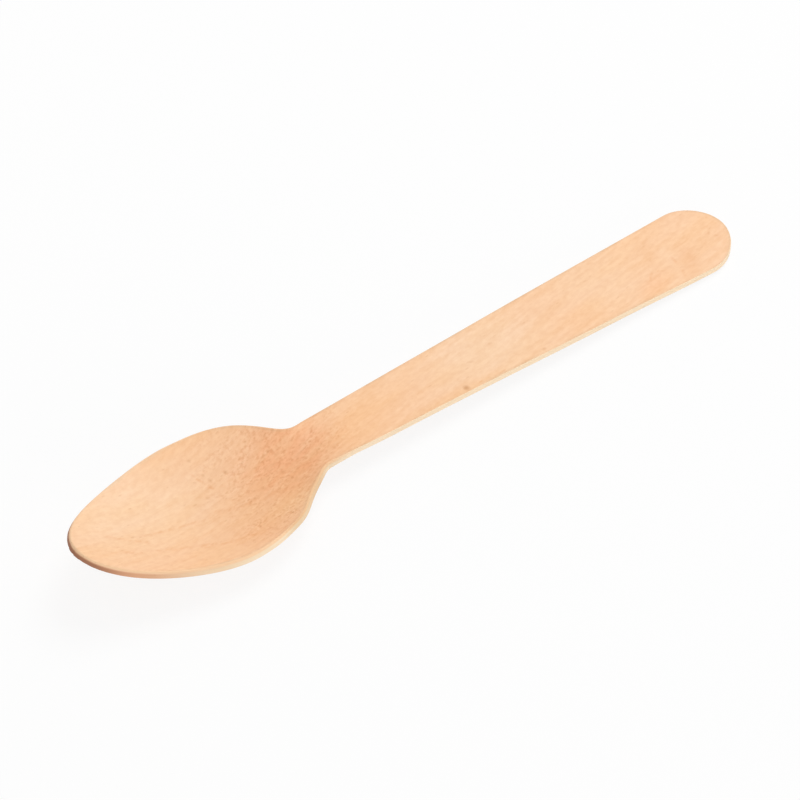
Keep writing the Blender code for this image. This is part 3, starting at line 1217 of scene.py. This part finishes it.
def soft_lamp(name, turn, height, size, level):
    """A round lamp that lights a surface facing it to the given level, seen as its own colour.

    turn is the compass angle from +X, height the angle above the table. A lamp of power P at
    distance d lights a white surface that faces it to P / (pi d)^2.
    """
    flat = math.cos(height)
    direction = Vector((math.cos(turn) * flat, math.sin(turn) * flat, math.sin(height)))
    data = bpy.data.lights.new(name, "AREA")
    data.shape = "DISK"
    data.size = size
    data.energy = level * (math.pi * LAMP_DISTANCE) ** 2
    lamp = bpy.data.objects.new(name, data)
    lamp.location = direction * LAMP_DISTANCE
    lamp.rotation_euler = direction.to_track_quat("Z", "Y").to_euler()
    bpy.context.scene.collection.objects.link(lamp)


soft_lamp("key", KEY_TURN, KEY_HEIGHT, KEY_SIZE, KEY_LEVEL)
soft_lamp("front fill", FILL_TURN, FILL_HEIGHT, FILL_SIZE, FILL_LEVEL)
print("lamps:", ", ".join(data.name for data in bpy.data.lights))

# %% [markdown]
# ## World
#
# The photograph's ground is pure white, but a world that bright would wash the spoon out. So rays
# that reach the camera straight, in a gloss or through glass see the world as white, and the
# spoon is lit by its lower level.

# %% World
WORLD_LEVEL = 0.52


def seen_directly(tree):
    """1 for what the camera sees straight, in a gloss or through glass, and 0 for light itself."""
    path = add_node(tree, "ShaderNodeLightPath", {}).outputs
    seen = calculate(tree, "MAXIMUM", path["Is Camera Ray"], path["Is Glossy Ray"])
    return calculate(tree, "MAXIMUM", seen, path["Is Transmission Ray"])


world = bpy.data.worlds.new("studio")
bpy.context.scene.world = world
world.use_nodes = True
background = world.node_tree.nodes["Background"]
background.inputs["Color"].default_value = (1, 1, 1, 1)
strength = ramp(world.node_tree, seen_directly(world.node_tree), 0.0, 1.0, WORLD_LEVEL, 1.0)
world.node_tree.links.new(strength, background.inputs["Strength"])
level_white = WORLD_LEVEL + KEY_LEVEL * math.sin(KEY_HEIGHT) + FILL_LEVEL * math.sin(FILL_HEIGHT)
print("light on a level white surface:", round(level_white, 2))

# %% [markdown]
# ## Table
#
# The spoon lies on plain white. A white floor under plain light looks pale grey beside a white
# background, so its material mixes in a share of glow that only straight and glossy rays see. The
# shadow of the spoon stays, faintly, because the rest of the mix is ordinary paint, and no more
# light falls on the spoon than before.

# %% Table
TABLE_HALF = 3.0
TABLE_WHITE = (0.94, 0.94, 0.94)
TABLE_MATT = 0.9
SHOWN_WHITE = 0.88


def make_table_white():
    """White paint, brightened by SHOWN_WHITE for what is seen directly, so that it stays white."""
    material, tree, surface = start_material("table_white")
    surface.inputs["Base Color"].default_value = (*TABLE_WHITE, 1)
    surface.inputs["Roughness"].default_value = TABLE_MATT
    bright = add_node(tree, "ShaderNodeEmission", {"Strength": 1.0})
    amount = calculate(tree, "MULTIPLY", seen_directly(tree), SHOWN_WHITE)
    layers = {0: amount, 1: surface.outputs[0], 2: bright.outputs[0]}
    mix = add_node(tree, "ShaderNodeMixShader", layers)
    tree.links.new(mix.outputs[0], tree.nodes["Material Output"].inputs["Surface"])
    return material


turns = [(-1, -1), (1, -1), (1, 1), (-1, 1)]
table_corners = [(TABLE_HALF * x, TABLE_HALF * y, 0) for x, y in turns]
table_mesh = bpy.data.meshes.new("table")
table_mesh.from_pydata(table_corners, [], [(0, 1, 2, 3)])
table_mesh.materials.append(make_table_white())
table = bpy.data.objects.new("table", table_mesh)
bpy.context.scene.collection.objects.link(table)
print("the table is", 2 * TABLE_HALF, "m wide")

# %% [markdown]
# ## Colours on screen, and the end
#
# The Standard view shows a colour as it was written, which is what a plain studio picture needs.

# %% Colour management and finish
bpy.context.scene.view_settings.view_transform = "Standard"
bpy.context.view_layer.update()
print("view of the colours:", bpy.context.scene.view_settings.view_transform)
